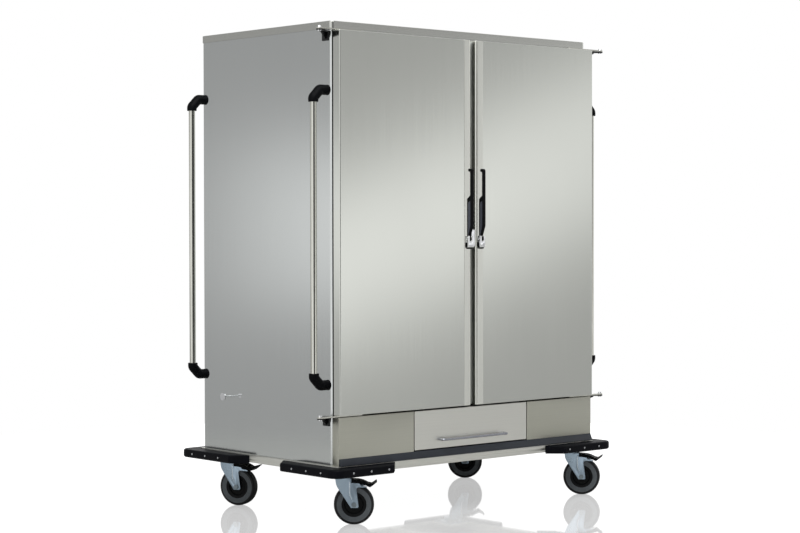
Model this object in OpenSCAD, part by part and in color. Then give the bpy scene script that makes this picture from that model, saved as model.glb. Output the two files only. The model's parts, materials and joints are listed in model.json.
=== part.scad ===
// Banquet trolley: a two-door insulated cabinet on a wheeled frame, in millimetres.
// The origin is on the floor under the middle of the frame, +Z is up and the doors face -Y.

/* [Body] */
// Outside width of the insulated body
body_w = 1350; // [1290:10:1450]
// Outside depth of the insulated body without its doors
body_d = 810; // [780:10:860]
// Height of the body, from its underside to the top of the cap
body_h = 1640; // [1560:10:1700]
// Thickness of the insulated side and back panels
wall_t = 40; // [36:1:46]
// Thickness of the insulated roof
roof_t = 56; // [52:1:62]
// Thickness of the insulated floor under the two compartments
floor_t = 30; // [26:1:36]
// Thickness of the partition between the two compartments
partition_t = 60; // [56:1:70]
// Height of the plinth under the compartments
plinth_h = 182; // [176:1:200]

/* [Top cap] */
// Height of the lip that the cap turns down over the panels
cap_lip = 28; // [20:1:36]
// Sheet thickness of the cap
cap_sheet = 2; // [1:0.5:3]
// Clearance between the cap's lip and the panels inside it
cap_clear = 1; // [0.5:0.1:2]
// Radius of the rounded vertical edges of the side panels
corner_r = 15; // [8:1:20]

/* [Doors] */
// Thickness of a door
door_t = 38; // [34:1:44]
// Gap between a door and the body, which the gasket fills
door_gap = 9; // [7:0.5:12]
// Gap between the two closed doors
centre_gap = 26; // [20:1:30]
// Gap between the fascia and the bottom of a door
door_bottom_gap = 7; // [6.5:0.5:9]
// Gap between the top of a door and the cap's lip
door_top_gap = 8; // [6.5:0.5:12]
// Width of the raised band beside the gap between the doors
band_w = 38; // [34:1:46]
// Radius of the nose on the band's inner edge
nose_r = 10; // [6:1:14]
// Radius of a door's other vertical edges
door_edge_r = 4; // [2:0.5:6]
// Width of the door gasket where it seals
gasket_w = 14; // [12:1:16]

/* [Hinges] */
// Distance of the door pivots outside the side panels
pivot_out = 74; // [71:1:80]
// Distance of the door pivots ahead of the body's front
pivot_ahead = 20; // [18:1:24]
// Radius of a hinge pin
pin_r = 5; // [4:0.5:6]
// Thickness of the hinge arms and bracket shelves
hinge_t = 5; // [3:0.5:5.5]
// Length of a hinge arm over the door's edge
arm_l = 120; // [90:5:160]
// Height of a hinge bracket on the side panel
bracket_h = 36; // [30:1:60]
// Angle at which an open door rests on its stop
door_open = 266; // [264:0.5:268]
// Height of the door stop above the body's underside
stop_z = 225; // [205:5:300]
// Distance of the door stop behind the middle of the side panel
stop_back = 158; // [120:1:190]

/* [Latches] */
// Width of a lever
lever_w = 12; // [10:1:14]
// Distance a lever stands out from its door
lever_reach = 28; // [26:1:30]
// Length of a lever above the latch base
lever_l = 267; // [240:1:290]
// Height of the bottom of the latches above the body's underside
latch_z = 800; // [700:10:860]
// Width of a latch base
latch_w = 26; // [24:1:30]
// Height of a latch base
latch_h = 46; // [42:1:52]

/* [Drawer] */
// Width of the drawer front
drawer_w = 600; // [540:10:660]
// Length of the drawer tray behind its front
drawer_l = 560; // [480:10:600]
// Distance the fascia stands ahead of the body
fascia_t = 37; // [34:1:40]
// Height of the dark edge strip under the fascia
strip_h = 27; // [22:1:32]
// Length of the drawer's bow handle
bow_l = 345; // [280:5:380]
// Radius of the bow handle's rod
bow_r = 4.5; // [3.5:0.5:6]
// Distance the bow handle stands out from the drawer
bow_reach = 30; // [26:1:36]

/* [Push handles] */
// Radius of a push tube
tube_r = 12.5; // [11:0.5:14]
// Radius of the moulded elbows
elbow_r = 19; // [17.5:0.5:20]
// Distance of a tube's middle from the side panel
tube_out = 67; // [60:1:72]
// Height of a push handle's lower foot above the body's underside
handle_low = 298; // [270:1:340]
// Distance of a push handle's upper foot below the top of the body
handle_drop = 254; // [220:1:340]
// Distance of the feet from the front and back edges of the side panel
foot_inset = 24; // [23:1:30]

/* [Frame and bumpers] */
// Height of the wheeled frame's rails
chassis_h = 30; // [26:1:40]
// Distance the frame stands out beyond the body and the fascia
chassis_lip = 8; // [4:1:12]
// Distance the corner bumpers stand out beyond the frame
bumper_out = 61; // [52:1:66]
// Height of a corner bumper
bumper_h = 33; // [30:1:42]
// Distance of a bumper's top below the top of the frame
bumper_drop = 3; // [2:1:6]
// Radius of a bumper's outer corner
bumper_r = 45; // [20:1:60]
// Length of a bumper's leg along the front or back, up to its taper
bumper_leg_x = 284; // [276:1:306]
// Length of a bumper's leg along the side, up to its taper
bumper_leg_y = 328; // [276:1:340]

/* [Casters] */
// Radius of a wheel
wheel_r = 75; // [70:1:80]
// Width of a tyre
tyre_w = 42; // [36:1:44]
// Radius of the black hub disc inside the tyre
hub_r = 46.5; // [40:0.5:52]
// Distance of the axle behind the swivel axis
trail = 58; // [52:1:60]
// Total height of a caster
caster_h = 195; // [190:1:205]
// Radius of an axle
axle_r = 6; // [5:0.5:7]
// Distance of the swivel axes from the frame's ends
caster_inset_x = 67; // [66:1:90]
// Distance of the swivel axes from the frame's front and back
caster_inset_y = 78; // [72:1:100]

/* [Tray racks] */
// Number of tray levels in a compartment
levels = 10; // [6:1:10]
// Height from one tray level to the next
level_pitch = 130; // [90:1:130]
// Height of the lowest level above the compartment's floor
first_level = 50; // [30:1:60]
// Width between the wire ledges of a compartment
ledge_gap = 489; // [470:1:500]
// Width of the pressed well in a compartment's floor, between the ledges
well_w = 470; // [430:5:480]
// Depth of the well below the floor
well_t = 3; // [2:0.5:4]
// Radius of the ledge wire
wire_r = 3; // [2:0.5:4]
// Width of a rack post across the compartment
post_w = 30; // [26:1:32]

/* [Hidden] */
$fn = 48;
SMALL = 24;

// Heights above the floor
base_z = caster_h + chassis_h;
top_z = base_z + body_h;
lip_z = top_z - cap_lip;
floor_z = base_z + plinth_h;
inside_z = floor_z + floor_t;
roof_z = top_z - cap_sheet - roof_t;
fascia_low = base_z + strip_h;
fascia_top_gap = 2;
fascia_high = floor_z - fascia_top_gap;
door_low = fascia_high + door_bottom_gap;
door_high = lip_z - door_top_gap;
door_h = door_high - door_low;

// Plan positions
side_x = body_w / 2;
inner_x = side_x - wall_t;
chassis_w = body_w + 2 * chassis_lip;
chassis_d = body_d + fascia_t + chassis_lip + chassis_lip / 2;
front_y = -chassis_d / 2 + chassis_lip / 2 + fascia_t;
back_y = front_y + body_d;
liner_y = back_y - wall_t;
fascia_y = front_y - fascia_t;
door_back = front_y - door_gap;
door_front = door_back - door_t;
cap_over = cap_clear + cap_sheet;

// Doors, hinges and the stop
pivot = [side_x + pivot_out, front_y - pivot_ahead];
inner_edge = centre_gap / 2;
band_step = 1;
gasket_inset = 2;
gasket_drop = 5;
running = 0.05;
seat_gap = 0.3;
eye_r = pin_r + 6;
knob_r = pin_r + 3;
knob_h = 6;
stop_y = (front_y + back_y) / 2 + stop_back;
stop_rod_r = 4;
stop_head_r = 15;
stop_head_t = 6;
stop_clear = 0.4;
open_lean = 270 - door_open;
hinge_levels = [door_low - hinge_t, door_high];
hinge_plate_w = 36;
hinge_plate_t = 4;
face_offset = door_gap + door_t - pivot_ahead;
stop_tip = pivot[0] + (stop_y - stop_head_r - pivot[1]) * tan(open_lean)
           - face_offset / cos(open_lean) - stop_clear;

// Latches
lever_x = inner_edge + band_w / 2;
band_front = door_front - band_step;
lever_clear = 1;
lever_pin_r = 3;
lever_pin_out = 10;
lever_pin_z = base_z + latch_z + latch_h - 12;
knuckle_r = 8;
latch_depth = 18;
lever_foot_z = base_z + latch_z + latch_h - 7;
lever_top_z = lever_foot_z + lever_l;
strip_t = 3;
keeper_w = 16;
keeper_h = 70;

// Drawer
seam = 4;
drawer_x = drawer_w / 2;
front_t = 20;
tray_sheet = 1.5;
slide_room = 28.5;
tray_up = 37;
tray_drop = 22;
tray_x = drawer_x - slide_room;
tray_low = base_z + tray_up;
tray_high = floor_z - tray_drop;
runner_x = drawer_x - 2;
runner_sheet = 2;
rail_up = 50;
rail_z = tray_low + rail_up;
rail_h = 20;
rail_short = 40;
bow_up = 65;

// Push handles
handle_high_z = top_z - handle_drop;
foot_y = [front_y + foot_inset, back_y - foot_inset];
bend = 30;
collar_l = 16;
socket_l = 12;

// Bumpers
bumper_x = chassis_w / 2 + bumper_out;
bumper_y = chassis_d / 2 + bumper_out;
bumper_high = base_z - bumper_drop;
bumper_low = bumper_high - bumper_h;
bumper_taper = 55;
front_leg_end = bumper_x - bumper_leg_x;
side_leg_end = bumper_y - bumper_leg_y;
screw_r = 4;
screw_head_r = 6;
screw_head_t = 2;
screw_grip = 17;
screw_edge_x = 87;
screw_edge_y = 87;
screw_step = 86;
screw_count = 3;

// Casters: each is turned about its own swivel axis, as the trolley last rolled
CORNERS = [[-1, -1], [1, -1], [-1, 1], [1, 1]];
FRONT_LEFT = 0;
FRONT_RIGHT = 1;
BACK_LEFT = 2;
BACK_RIGHT = 3;
heading = [-40, -50, -62, -43];
swivel_x = chassis_w / 2 - caster_inset_x;
swivel_y = chassis_d / 2 - caster_inset_y;
plate_w = 104;
plate_t = 4;
bolt_r = 4;
bolt_at = 40;
race_r = 32;
race_h = 8;
king_r = 8;
race_low = caster_h - plate_t - race_h;
crown_t = 10;
crown_low = race_low - seat_gap - crown_t;
crown_r = 34;
rivet_r = 12;
rivet_h = 6;
leg_t = 3.5;
leg_in = tyre_w / 2 + 3;
leg_out = leg_in + leg_t;
pedal_pin_up = 83;
pedal_pin = [trail - 2, wheel_r + pedal_pin_up];
pedal_pin_r = 3;
pedal_hub_r = 6.5;
rib_t = 1.5;

// Outlines from the axle, in wheel radii: a fork leg from its front down and round to the arm
// beside the pedal, the ridge pressed into the leg, and the pedal's arm out along its top and
// back along its underside
FORK_LEG = [
    [-0.91, 1.16], [-0.89, 1.04], [-0.83, 0.89], [-0.7, 0.69], [-0.2, -0.08], [-0.15, -0.15],
    [0.18, -0.15], [0.23, -0.09], [0.12, 0.79], [0.19, 0.87], [0.64, 0.86], [0.65, 0.91],
    [0.33, 0.96], [0.26, 1.08], [0.06, 1.17], [-0.12, 1.18]
];
FORK_RIDGE = [[-0.3, 1.2], [-0.3, 0.42], [-0.14, 0.16], [0.04, 0.16], [0, 0.5], [-0.14, 0.66], [-0.14, 1.2]];
PEDAL_ARM = [
    [-0.13, 1.25], [0.25, 1.23], [0.48, 1.175], [0.73, 1.055], [0.89, 1.02], [1.12, 1.17],
    [1.15, 1.14], [0.92, 0.955], [0.8, 0.87], [0.68, 0.92], [0.54, 1], [0.28, 1.06],
    [0.02, 1.09], [-0.13, 1.09]
];

// Racks
post_d = 25;
post_front = 32;
post_back = 58;
post_y = [front_y + post_front, liner_y - post_back];
bay_w = inner_x - partition_t / 2;
bay_x = partition_t / 2 + bay_w / 2;
ledge_x = ledge_gap / 2 + wire_r;
wire_bend = 12;
well_rim = 40;
well_r = 25;

// Where the line from point p touches the circle round c, on the side given by turn
function tangent(p, c, r, turn) =
    let (d = p - c, a = atan2(d[1], d[0]) + turn * acos(r / norm(d)))
    c + r * [cos(a), sin(a)];

// A rectangle between two corners whose own corners have the radii
// [low x low y, high x low y, high x high y, low x high y]
module rounded(low, high, radii) {
    at = [low, [high[0], low[1]], high, [low[0], high[1]]];
    inward = [[1, 1], [-1, 1], [-1, -1], [1, -1]];
    difference() {
        translate(low)
            square(high - low);
        for (i = [0 : 3])
            if (radii[i] > 0)
                translate(at[i])
                    corner_sliver(inward[i], radii[i]);
    }
}

// The sliver outside a quarter circle, at a corner that opens the way it is told
module corner_sliver(inward, r) {
    difference() {
        translate([inward[0] > 0 ? -1 : -r, inward[1] > 0 ? -1 : -r])
            square(r + 1);
        translate(inward * r)
            circle(r);
    }
}

module block(low, high) {
    translate(low)
        cube(high - low);
}

// The left half of what is built on the right
module to_left() {
    mirror([1, 0, 0])
        children();
}

module both_sides() {
    children();
    to_left()
        children();
}

// Outline in depth and height, carried along X over the given stretch
module along_x(from, to) {
    translate([from, 0, 0])
        rotate([90, 0, 90])
            linear_extrude(to - from)
                children();
}

// Outline in width and height, carried along Y over the given stretch
module along_y(from, to) {
    translate([0, to, 0])
        rotate([90, 0, 0])
            linear_extrude(to - from)
                children();
}

module side_panel() {
    translate([0, 0, base_z])
        linear_extrude(body_h - cap_sheet)
            rounded([inner_x, front_y], [side_x, back_y], [0, corner_r, corner_r, 0]);
}

module side_panel_left() {
    color("#A9AAA6")
        to_left()
            side_panel();
}

module side_panel_right() {
    color("#A9AAA6")
        side_panel();
}

module back_panel() {
    color("#A4A5A1")
        block([-inner_x, liner_y, base_z], [inner_x, back_y, top_z - cap_sheet]);
}

module roof_panel() {
    color("#B4B5B1")
        block([-inner_x, front_y, roof_z], [inner_x, liner_y, top_z - cap_sheet]);
}

// A floor with a shallow pressed well in each compartment, which catches drips
module floor_panel() {
    low = [bay_x - well_w / 2, front_y + well_rim];
    high = [bay_x + well_w / 2, liner_y - well_rim];
    color("#B4B5B1")
        difference() {
            block([-inner_x, front_y, floor_z], [inner_x, liner_y, inside_z]);
            both_sides()
                translate([0, 0, inside_z - well_t])
                    linear_extrude(well_t + 1)
                        rounded(low, high, [well_r, well_r, well_r, well_r]);
        }
}

module partition() {
    color("#B4B5B1")
        block([-partition_t / 2, front_y, inside_z], [partition_t / 2, liner_y, roof_z]);
}

module top_cap() {
    outer_r = corner_r + cap_over;
    inner_r = corner_r + cap_clear;
    color("#A6A7A2")
        difference() {
            translate([0, 0, lip_z])
                linear_extrude(cap_lip)
                    rounded([-side_x - cap_over, front_y - cap_over],
                            [side_x + cap_over, back_y + cap_over],
                            [outer_r, outer_r, outer_r, outer_r]);
            translate([0, 0, lip_z - 1])
                linear_extrude(cap_lip - cap_sheet + 1)
                    rounded([-side_x - cap_clear, front_y - cap_clear],
                            [side_x + cap_clear, back_y + cap_clear],
                            [inner_r, inner_r, inner_r, inner_r]);
        }
}

// A folded cover, open at the back, whose end cheek runs down beside the edge strip
module fascia() {
    sheet = 2;
    low = [drawer_x + seam, fascia_y, fascia_low];
    high = [side_x, front_y, fascia_high];
    difference() {
        block(low, high);
        block([low[0] + sheet, low[1] + sheet, low[2] + sheet],
              [high[0] - sheet, high[1] + 1, high[2] - sheet]);
    }
    block([side_x - sheet, fascia_y, base_z], [side_x, front_y, fascia_low]);
}

module fascia_left() {
    color("#A3A49D")
        to_left()
            fascia();
}

module fascia_right() {
    color("#A3A49D")
        fascia();
}

// A rubber edge whose top face slopes out from under the fascia
module edge_strip() {
    nose = 9;
    lip = 4;
    end = side_x - 2;
    color("#3B3F45")
        along_x(-end, end)
            polygon([
                [front_y, base_z],
                [-chassis_d / 2 - nose, base_z],
                [-chassis_d / 2 - nose, base_z + lip],
                [fascia_y - 2, fascia_low],
                [front_y, fascia_low]
            ]);
}

// Welded rails under a deck, with a drilled pad for the caster at each corner
module chassis_frame() {
    rail = 40;
    deck = 2;
    pad = 150;
    pad_t = 6;
    x = chassis_w / 2;
    y = chassis_d / 2;
    color("#B7B8B3")
        difference() {
            union() {
                difference() {
                    block([-x, -y, caster_h], [x, y, base_z]);
                    block([-x + rail, -y + rail, caster_h - 1], [x - rail, y - rail, base_z - deck]);
                }
                for (at = [-1, 1])
                    block([at * swivel_x / 2 - rail / 2, -y + rail, caster_h],
                          [at * swivel_x / 2 + rail / 2, y - rail, base_z - deck]);
                for (c = CORNERS)
                    translate([c[0] * (x - pad / 2), c[1] * (y - pad / 2), caster_h + pad_t / 2])
                        cube([pad, pad, pad_t], center = true);
            }
            caster_bolts(bolt_r + 0.3, caster_h - 1, caster_h + 11);
            bumper_screws(screw_r + 0.2, 0, bumper_out + screw_grip + 1);
        }
}

// One caster's four bolts, under every corner of the frame
module caster_bolts(r, from, to) {
    for (c = CORNERS)
        for (at = CORNERS)
            translate([c[0] * swivel_x + at[0] * bolt_at, c[1] * swivel_y + at[1] * bolt_at, from])
                cylinder(h = to - from, r = r, $fn = SMALL);
}

// Rods where the bumper screws go, from a depth under the bumpers' faces and of a length
module bumper_screws(r, depth, length) {
    z = (bumper_high + bumper_low) / 2;
    for (c = CORNERS)
        for (i = [0 : screw_count - 1]) {
            translate([c[0] * (bumper_x - screw_edge_x - i * screw_step), c[1] * (bumper_y - depth), z])
                rotate([c[1] * 90, 0, 0])
                    cylinder(h = length, r = r, $fn = SMALL);
            translate([c[0] * (bumper_x - depth), c[1] * (bumper_y - screw_edge_y - i * screw_step), z])
                rotate([0, -c[0] * 90, 0])
                    cylinder(h = length, r = r, $fn = SMALL);
        }
}

// An L round one corner of the frame, whose legs run out in a taper
module bumper(corner) {
    x = chassis_w / 2;
    y = chassis_d / 2;
    color("#17181D")
        difference() {
            mirror([corner[0] < 0 ? 1 : 0, 0, 0])
                mirror([0, corner[1] < 0 ? 1 : 0, 0])
                    translate([0, 0, bumper_low])
                        linear_extrude(bumper_h)
                            difference() {
                                polygon([
                                    [front_leg_end - bumper_taper, y],
                                    [x, y],
                                    [x, side_leg_end - bumper_taper],
                                    [bumper_x, side_leg_end],
                                    [bumper_x, bumper_y],
                                    [front_leg_end, bumper_y]
                                ]);
                                translate([bumper_x, bumper_y])
                                    corner_sliver([-1, -1], bumper_r);
                            }
            bumper_screws(screw_r + 0.2, -1, bumper_out + 2);
            bumper_screws(screw_head_r + 0.2, -1, screw_head_t + 1);
        }
}

module bumper_front_left() {
    bumper(CORNERS[FRONT_LEFT]);
}

module bumper_front_right() {
    bumper(CORNERS[FRONT_RIGHT]);
}

module bumper_back_left() {
    bumper(CORNERS[BACK_LEFT]);
}

module bumper_back_right() {
    bumper(CORNERS[BACK_RIGHT]);
}

// Dome-headed screws of the bumpers and hexagon bolts of the casters
module frame_screws() {
    color("#C9CACC") {
        bumper_screws(screw_r, 1, bumper_out + screw_grip - 1);
        bumper_screws(screw_head_r, 0.5, screw_head_t - 0.5);
        caster_bolts(bolt_r, caster_h - plate_t - 1, caster_h + 9);
        for (c = CORNERS)
            for (at = CORNERS)
                translate([c[0] * swivel_x + at[0] * bolt_at, c[1] * swivel_y + at[1] * bolt_at,
                           caster_h - plate_t - 5])
                    cylinder(h = 5, r = 7, $fn = 6);
    }
}

module push_tubes() {
    low = base_z + handle_low + bend + collar_l - socket_l;
    high = handle_high_z - bend - collar_l + socket_l;
    color("#C4C5C3")
        both_sides()
            for (y = foot_y)
                translate([side_x + tube_out, y, low])
                    cylinder(h = high - low, r = tube_r);
}

// A moulded elbow: a foot on the panel, a ball at each of two half bends, and a collar
// whose blind socket holds the tube
module elbow() {
    ball_r = elbow_r + 0.3;
    corner = [tube_out - bend, 0, 0];
    knee = [tube_out, 0, bend];
    difference() {
        union() {
            rotate([0, 90, 0])
                cylinder(h = corner[0], r = elbow_r);
            translate(corner) {
                sphere(r = ball_r);
                rotate([0, 45, 0])
                    cylinder(h = norm(knee - corner), r = elbow_r);
            }
            translate(knee) {
                sphere(r = ball_r);
                cylinder(h = collar_l, r = elbow_r);
            }
        }
        translate([tube_out, 0, bend + collar_l - socket_l])
            cylinder(h = socket_l + elbow_r, r = tube_r + running);
    }
}

module push_elbows() {
    color("#15161A")
        both_sides()
            for (y = foot_y) {
                translate([side_x, y, base_z + handle_low])
                    elbow();
                translate([side_x, y, handle_high_z])
                    mirror([0, 0, 1])
                        elbow();
            }
}

// Buffers on rods, on which the open doors rest
module stop_studs() {
    color("#C9CACC")
        both_sides()
            translate([side_x, stop_y, base_z + stop_z])
                rotate([0, 90, 0]) {
                    cylinder(h = stop_tip - side_x, r = stop_rod_r);
                    cylinder(h = 3, r = stop_rod_r + 5);
                    translate([0, 0, stop_tip - side_x - stop_head_t])
                        cylinder(h = stop_head_t, r = stop_head_r);
                }
}

// A plate on the side panel, a shelf that reaches out to the pivot and a gusset under it
module hinge_bracket(arm_z) {
    plate_y = [front_y + corner_r, front_y + corner_r + hinge_plate_w];
    plate_mid = (plate_y[0] + plate_y[1]) / 2;
    shelf_high = arm_z - seat_gap;
    shelf_low = shelf_high - hinge_t;
    from = [[side_x, plate_y[0]], [side_x, plate_y[1]]];
    gusset_l = pivot_out - eye_r;
    lean = atan2(pivot[1] - plate_mid, pivot_out);
    block([side_x, plate_y[0], shelf_high - bracket_h],
          [side_x + hinge_plate_t, plate_y[1], shelf_high]);
    difference() {
        union() {
            translate([0, 0, shelf_low])
                linear_extrude(hinge_t)
                    polygon([
                        from[0],
                        tangent(from[0], pivot, eye_r, 1),
                        pivot,
                        tangent(from[1], pivot, eye_r, -1),
                        from[1]
                    ]);
            translate([pivot[0], pivot[1], shelf_low])
                cylinder(h = hinge_t, r = eye_r);
        }
        translate([pivot[0], pivot[1], shelf_low - 1])
            cylinder(h = hinge_t + 2, r = pin_r + running);
    }
    translate([side_x + hinge_plate_t / 2, plate_mid, shelf_low])
        rotate([90, 0, lean])
            translate([0, 0, -2])
                linear_extrude(4)
                    polygon([[0, 1], [gusset_l, 1], [gusset_l, -4], [0, hinge_t - bracket_h + 4]]);
}

module hinge_brackets() {
    color("#1F2024")
        both_sides()
            for (z = hinge_levels)
                hinge_bracket(z);
}

// Shouldered pins, each with a knob over the arm and a rivet under the shelf
module hinge_pins() {
    color("#D5D6D6")
        both_sides()
            for (z = hinge_levels)
                translate([pivot[0], pivot[1], z]) {
                    translate([0, 0, -seat_gap - hinge_t])
                        cylinder(h = hinge_t * 2 + 2 * seat_gap, r = pin_r);
                    translate([0, 0, hinge_t + seat_gap])
                        cylinder(h = knob_h, r1 = knob_r, r2 = knob_r - 2);
                    translate([0, 0, -seat_gap - hinge_t - 3])
                        cylinder(h = 3, r = knob_r);
                }
}

// A folded steel slab with a raised band and a rounded nose along its inner edge
module door() {
    translate([0, 0, door_low])
        linear_extrude(door_h) {
            rounded([inner_edge + nose_r, door_front], [side_x, door_back],
                    [0, door_edge_r, 1, 0]);
            rounded([inner_edge, band_front], [inner_edge + band_w, door_back],
                    [nose_r, 1, 0, door_edge_r]);
        }
}

module door_left() {
    color("#B2B3AC")
        to_left()
            door();
}

module door_right() {
    color("#B2B3AC")
        door();
}

// A seal round the door's back, wider on the hinge side, where it also fills the rounded corner,
// and with a lip under the door that closes the gap above the fascia
module gasket() {
    low = [inner_edge + gasket_inset, door_low - gasket_drop];
    high = [side_x - gasket_inset, door_high - gasket_inset];
    wide = gasket_w + corner_r - gasket_inset;
    translate([0, door_back, 0])
        rotate([90, 0, 0])
            mirror([0, 0, 1])
                linear_extrude(door_gap - seat_gap)
                    difference() {
                        translate(low)
                            square(high - low);
                        translate(low + [gasket_w, gasket_w + gasket_drop])
                            square(high - low - [gasket_w + wide, 2 * gasket_w + gasket_drop]);
                    }
}

module gasket_left() {
    color("#2A2C30")
        to_left()
            gasket();
}

module gasket_right() {
    color("#2A2C30")
        gasket();
}

// Flat arms along the door's top and bottom edges, each with an eye round its pin
module hinge_arms() {
    for (z = hinge_levels)
        translate([pivot[0], pivot[1], z])
            difference() {
                union() {
                    cylinder(h = hinge_t, r = eye_r);
                    translate([-pivot_out - arm_l, -eye_r, 0])
                        cube([pivot_out + arm_l, 2 * eye_r, hinge_t]);
                }
                translate([0, 0, -1])
                    cylinder(h = hinge_t + 2, r = pin_r + running);
            }
}

module hinge_arms_left() {
    color("#C4C5C3")
        to_left()
            hinge_arms();
}

module hinge_arms_right() {
    color("#C4C5C3")
        hinge_arms();
}

// Outline with its depth measured out from the band's face, made as a solid of the width given
module latch_slab(width) {
    translate([lever_x - width / 2, band_front, 0])
        rotate([90, 0, 90])
            linear_extrude(width)
                mirror([1, 0])
                    children();
}

// A polished housing, forked for the lever's knuckle, with the lever's pin through its ears
module latch_base() {
    low = base_z + latch_z;
    foot_r = 9;
    slot_w = lever_w + 0.6;
    difference() {
        latch_slab(latch_w)
            rounded([0, low], [latch_depth, low + latch_h], [0, foot_r, 3, 0]);
        latch_slab(slot_w) {
            translate([-1, lever_pin_z - knuckle_r - 0.5])
                square([latch_depth + 2, latch_h]);
        }
        latch_slab(latch_w + 2)
            translate([lever_pin_out, lever_pin_z])
                circle(r = lever_pin_r + running);
    }
    latch_slab(latch_w)
        translate([lever_pin_out, lever_pin_z])
            circle(r = lever_pin_r);
}

module latch_base_left() {
    color("#D0D1D3")
        to_left()
            latch_base();
}

module latch_base_right() {
    color("#D0D1D3")
        latch_base();
}

// A deep web that tapers to its knuckle, under a free finger bar whose tip curls back
module lever() {
    web_h = 150;
    taper_h = 46;
    foot_out = lever_pin_out + 3;
    bar_t = 10;
    tip_r = 9;
    tip_t = 8;
    bar_in = lever_reach - bar_t;
    hook = bar_in - 6;
    difference() {
        latch_slab(lever_w) {
            translate([lever_pin_out, lever_pin_z])
                circle(r = knuckle_r);
            polygon([
                [lever_clear + 1, lever_pin_z],
                [foot_out, lever_pin_z],
                [foot_out, lever_foot_z + 6],
                [lever_reach, lever_foot_z + taper_h],
                [lever_reach, lever_top_z - tip_r],
                [bar_in, lever_top_z - tip_r],
                [bar_in, lever_foot_z + web_h + 14],
                [lever_clear, lever_foot_z + web_h],
                [lever_clear, lever_pin_z + knuckle_r]
            ]);
            translate([lever_reach - tip_r, lever_top_z - tip_r])
                circle(r = tip_r);
            translate([hook, lever_top_z - tip_t])
                square([lever_reach - tip_r - hook, tip_t]);
            translate([hook, lever_top_z - tip_t / 2])
                circle(r = tip_t / 2);
        }
        latch_slab(lever_w + 2)
            translate([lever_pin_out, lever_pin_z])
                circle(r = lever_pin_r + running);
    }
}

module lever_left() {
    color("#15161A")
        to_left()
            lever();
}

module lever_right() {
    color("#15161A")
        lever();
}

// The flat trim that closes the partition's face between the two gaskets
module mullion_strip() {
    w = 12;
    color("#50555B")
        block([-w / 2, front_y - strip_t, door_low + gasket_inset],
              [w / 2, front_y, door_high - gasket_inset]);
}

// A bright block in the gap between the doors, behind which both latches catch
module latch_keeper() {
    z = base_z + latch_z;
    color("#DADBDC")
        translate([-keeper_w / 2, 0, 0])
            rotate([90, 0, 90])
                linear_extrude(keeper_w)
                    rounded([door_front + 2, z], [front_y - strip_t, z + keeper_h], [8, 0, 0, 2]);
}

module drawer_front() {
    color("#B9BAB4")
        block([-drawer_x, fascia_y, fascia_low + seam], [drawer_x, fascia_y + front_t, fascia_high]);
}

// A folded tray with the moving bar of a drawer slide along each side
module drawer_tray() {
    near = fascia_y + front_t;
    far = near + drawer_l;
    color("#B4B5B1") {
        difference() {
            block([-tray_x, near, tray_low], [tray_x, far, tray_high]);
            block([-tray_x + tray_sheet, near + tray_sheet, tray_low + tray_sheet],
                  [tray_x - tray_sheet, far - tray_sheet, tray_high + 1]);
        }
        both_sides()
            difference() {
                block([tray_x, near + 20, rail_z + seat_gap],
                      [runner_x - runner_sheet - seat_gap, far, rail_z + rail_h - seat_gap]);
                block([tray_x + tray_sheet, near + 19, rail_z + seat_gap + tray_sheet],
                      [runner_x, far + 1, rail_z + rail_h - seat_gap - tray_sheet]);
            }
    }
}

// Channels that hang from the compartment floor and open towards the tray
module drawer_runners() {
    reach = 14;
    web = runner_x - runner_sheet;
    color("#9C9D9B")
        both_sides()
            along_y(front_y + 4, front_y + 4 + drawer_l - rail_short)
                union() {
                    translate([web, rail_z - runner_sheet])
                        square([runner_sheet, floor_z - rail_z + runner_sheet]);
                    translate([web - reach, rail_z - runner_sheet])
                        square([reach + 1, runner_sheet]);
                    translate([web - reach, rail_z + rail_h])
                        square([reach + 1, runner_sheet]);
                    translate([web - reach, floor_z - runner_sheet])
                        square([reach + 1, runner_sheet]);
                }
}

module drawer_handle() {
    bow_bend = 12;
    out = bow_reach - bow_r;
    color("#C4C5C3")
        translate([0, fascia_y, base_z + bow_up]) {
            translate([-bow_l / 2 + bow_bend, -out, 0])
                rotate([0, 90, 0])
                    cylinder(h = bow_l - 2 * bow_bend, r = bow_r);
            both_sides() {
                translate([bow_l / 2 - bow_bend, -out + bow_bend, 0])
                    rotate([0, 0, -90])
                        rotate_extrude(angle = 90)
                            translate([bow_bend, 0])
                                circle(r = bow_r);
                translate([bow_l / 2, 0, 0])
                    rotate([90, 0, 0])
                        cylinder(h = out - bow_bend, r = bow_r);
            }
        }
}

// Two side ladders of wire ledges for one compartment, between posts on floor and roof
module rack() {
    reach = bay_w / 2 - post_w - ledge_x;
    for (side = [-1, 1])
        translate([bay_x, 0, 0])
            facing(side) {
                for (y = post_y)
                    block([bay_w / 2 - post_w, y - post_d / 2, inside_z],
                          [bay_w / 2, y + post_d / 2, roof_z]);
                for (i = [0 : levels - 1])
                    translate([ledge_x, 0, inside_z + first_level + i * level_pitch])
                        ledge(reach - seat_gap);
            }
}

// Built facing +X, or turned to face -X
module facing(side) {
    mirror([side < 0 ? 1 : 0, 0, 0])
        children();
}

// A wire bent to a flat U, whose ends meet the inner faces of the two posts
module ledge(reach) {
    near = post_y[0] + wire_r;
    far = post_y[1] - wire_r;
    translate([0, near + wire_bend, 0])
        rotate([-90, 0, 0])
            cylinder(h = far - near - 2 * wire_bend, r = wire_r, $fn = SMALL);
    for (end = [0, 1]) {
        y = end == 0 ? near : far;
        turn = end == 0 ? 180 : 90;
        inward = end == 0 ? 1 : -1;
        translate([wire_bend, y + inward * wire_bend, 0])
            rotate([0, 0, turn])
                rotate_extrude(angle = 90, $fn = SMALL)
                    translate([wire_bend, 0])
                        circle(r = wire_r, $fn = SMALL);
        translate([wire_bend, y, 0])
            rotate([0, 90, 0])
                cylinder(h = reach - wire_bend, r = wire_r, $fn = SMALL);
    }
}

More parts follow.
